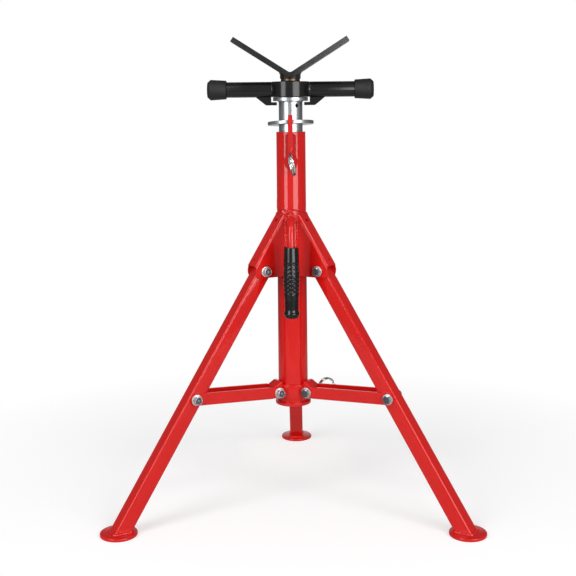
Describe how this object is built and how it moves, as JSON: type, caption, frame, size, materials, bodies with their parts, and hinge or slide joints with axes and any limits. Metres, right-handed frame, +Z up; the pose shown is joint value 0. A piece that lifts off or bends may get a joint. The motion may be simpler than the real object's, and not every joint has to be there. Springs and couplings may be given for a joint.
{
  "type": "pipe jack stand",
  "caption": "Folding tripod pipe stand with a V head on a lead screw, a sliding inner tube with a friction lock ring, and a carry handle.",
  "frame": {"origin": "the point on the floor below the column's axis, with the legs open", "axes": "+Z up along the column, -Y towards the carry handle and the upper pin, +X to the right as seen from the handle"},
  "size_m": [0.615, 0.5406, 0.7999],
  "materials": {
    "red_powder_coat": "gloss powder coat",
    "bright_zinc": "bright zinc plating",
    "gloss_black": "gloss black paint",
    "charcoal_coat": "satin charcoal coating",
    "black_rubber": "moulded rubber",
    "grip_plastic": "textured soft vinyl",
    "plated_bolt": "zinc plated",
    "bare_screw": "oiled bare steel",
    "spring_steel": "spring wire"
  },
  "bodies": {
    "frame": {"column": "red_powder_coat", "base_flange": "red_powder_coat", "leg_bracket_left": "red_powder_coat", "leg_bracket_right": "red_powder_coat", "leg_bracket_rear": "red_powder_coat", "leg_pivot_bolt_left": "plated_bolt", "leg_pivot_bolt_right": "plated_bolt", "leg_pivot_bolt_rear": "plated_bolt", "leg_pivot_nut_left": "plated_bolt", "leg_pivot_nut_right": "plated_bolt", "leg_pivot_nut_rear": "plated_bolt", "handle_rod": "red_powder_coat", "hand_grip": "grip_plastic", "ring_tab": "red_powder_coat", "upper_pin_boss": "red_powder_coat", "upper_pin_spring": "spring_steel"},
    "leg_rear_body": {"leg_rear": "red_powder_coat", "foot_pad_rear": "red_powder_coat"},
    "leg_left_body": {"leg_left": "red_powder_coat", "foot_pad_left": "red_powder_coat"},
    "leg_right_body": {"leg_right": "red_powder_coat", "foot_pad_right": "red_powder_coat"},
    "collar_body": {"collar": "red_powder_coat", "lower_pin_boss": "red_powder_coat", "lower_pin_spring": "spring_steel", "brace_inner_bolt_left": "plated_bolt", "brace_inner_bolt_right": "plated_bolt", "brace_inner_bolt_rear": "plated_bolt", "brace_inner_nut_left": "plated_bolt", "brace_inner_nut_right": "plated_bolt", "brace_inner_nut_rear": "plated_bolt"},
    "brace_left_body": {"brace_left": "red_powder_coat", "brace_outer_bolt_left": "plated_bolt", "brace_outer_nut_left": "plated_bolt"},
    "brace_right_body": {"brace_right": "red_powder_coat", "brace_outer_bolt_right": "plated_bolt", "brace_outer_nut_right": "plated_bolt"},
    "brace_rear_body": {"brace_rear": "red_powder_coat", "brace_outer_bolt_rear": "plated_bolt", "brace_outer_nut_rear": "plated_bolt"},
    "inner_tube_body": {"inner_tube": "bright_zinc", "tube_flange": "bright_zinc", "key_screw": "bare_screw"},
    "nut_body": {"nut_hub": "gloss_black", "arm_left": "gloss_black", "arm_right": "gloss_black", "arm_cap_left": "black_rubber", "arm_cap_right": "black_rubber", "hook_left": "gloss_black", "hook_right": "gloss_black"},
    "head_body": {"lead_screw": "bare_screw", "head_block": "charcoal_coat", "v_head": "charcoal_coat"},
    "lock_ring_body": {"lock_ring": "bright_zinc"},
    "upper_pin_body": {"upper_pin": "bright_zinc"},
    "upper_ring_body": {"upper_pull_ring": "bright_zinc"},
    "lower_pin_body": {"lower_pin": "bright_zinc"},
    "lower_ring_body": {"lower_pull_ring": "bright_zinc"}
  },
  "joints": [
    {"name": "leg_rear_fold", "type": "hinge", "parent": "frame", "child": "leg_rear_body", "pos_m": [0, 0.0591, 0.4], "axis": [-1, 0, 0], "range_deg": [0, 33.15]},
    {"name": "leg_left_fold", "type": "hinge", "parent": "frame", "child": "leg_left_body", "pos_m": [-0.05118, -0.02955, 0.4], "axis": [0.5, -0.866, 0], "range_deg": [0, 33.15]},
    {"name": "leg_right_fold", "type": "hinge", "parent": "frame", "child": "leg_right_body", "pos_m": [0.05118, -0.02955, 0.4], "axis": [0.5, 0.866, 0], "range_deg": [0, 33.15]},
    {"name": "collar_lift", "type": "slide", "parent": "frame", "child": "collar_body", "axis": [0, 0, 1], "range_m": [0, 0.12406]},
    {"name": "brace_rear_turn", "type": "hinge", "parent": "collar_body", "child": "brace_rear_body", "pos_m": [0, 0.0355, 0.19], "axis": [-1, 0, 0], "range_deg": [0, 85.04]},
    {"name": "brace_left_turn", "type": "hinge", "parent": "collar_body", "child": "brace_left_body", "pos_m": [-0.03074, -0.01775, 0.19], "axis": [0.5, -0.866, 0], "range_deg": [0, 85.04]},
    {"name": "brace_right_turn", "type": "hinge", "parent": "collar_body", "child": "brace_right_body", "pos_m": [0.03074, -0.01775, 0.19], "axis": [0.5, 0.866, 0], "range_deg": [0, 85.04]},
    {"name": "tube_slide", "type": "slide", "parent": "frame", "child": "inner_tube_body", "axis": [0, 0, 1], "range_m": [-0.012, 0.38]},
    {"name": "nut_turn", "type": "hinge", "parent": "inner_tube_body", "child": "nut_body", "pos_m": [0, 0, 0.7095], "axis": [0, 0, -1], "range_deg": [0, 8640]},
    {"name": "screw_lift", "type": "slide", "parent": "inner_tube_body", "child": "head_body", "axis": [0, 0, 1], "range_m": [0, 0.1524]},
    {"name": "lock_ring_tilt", "type": "hinge", "parent": "frame", "child": "lock_ring_body", "pos_m": [0.00005, -0.03712, 0.65106], "axis": [0.9205, 0.3907, 0], "range_deg": [0, 4.8]},
    {"name": "upper_pin_pull", "type": "slide", "parent": "frame", "child": "upper_pin_body", "axis": [0, -1, 0], "range_m": [0, 0.004], "stiffness_N_per_m": 150, "springref_m": -0.004, "deforming": ["upper_pin_spring"]},
    {"name": "upper_ring_swing", "type": "hinge", "parent": "upper_pin_body", "child": "upper_ring_body", "pos_m": [0, -0.041, 0.585], "axis": [-0.1866, -0.2079, 0.9602], "range_deg": [-60, 60]},
    {"name": "lower_pin_pull", "type": "slide", "parent": "collar_body", "child": "lower_pin_body", "axis": [0.866, 0.5, 0], "range_m": [-0.004, 0.004], "stiffness_N_per_m": 150, "deforming": ["lower_pin_spring"]},
    {"name": "lower_ring_swing", "type": "hinge", "parent": "lower_pin_body", "child": "lower_ring_body", "pos_m": [0.04417, 0.0255, 0.187], "axis": [0.1801, 0.104, 0.9781], "range_deg": [-40, 40]}
  ],
  "couplings": [
    {"joint": "leg_left_fold", "follows": "leg_rear_fold", "ratio": 1},
    {"joint": "leg_right_fold", "follows": "leg_rear_fold", "ratio": 1},
    {"joint": "collar_lift", "follows": "leg_rear_fold", "m_per_rad": 0.21441},
    {"joint": "brace_rear_turn", "follows": "leg_rear_fold", "ratio": 2.565},
    {"joint": "brace_left_turn", "follows": "leg_rear_fold", "ratio": 2.565},
    {"joint": "brace_right_turn", "follows": "leg_rear_fold", "ratio": 2.565},
    {"joint": "screw_lift", "follows": "nut_turn", "m_per_rad": 0.0010106}
  ]
}
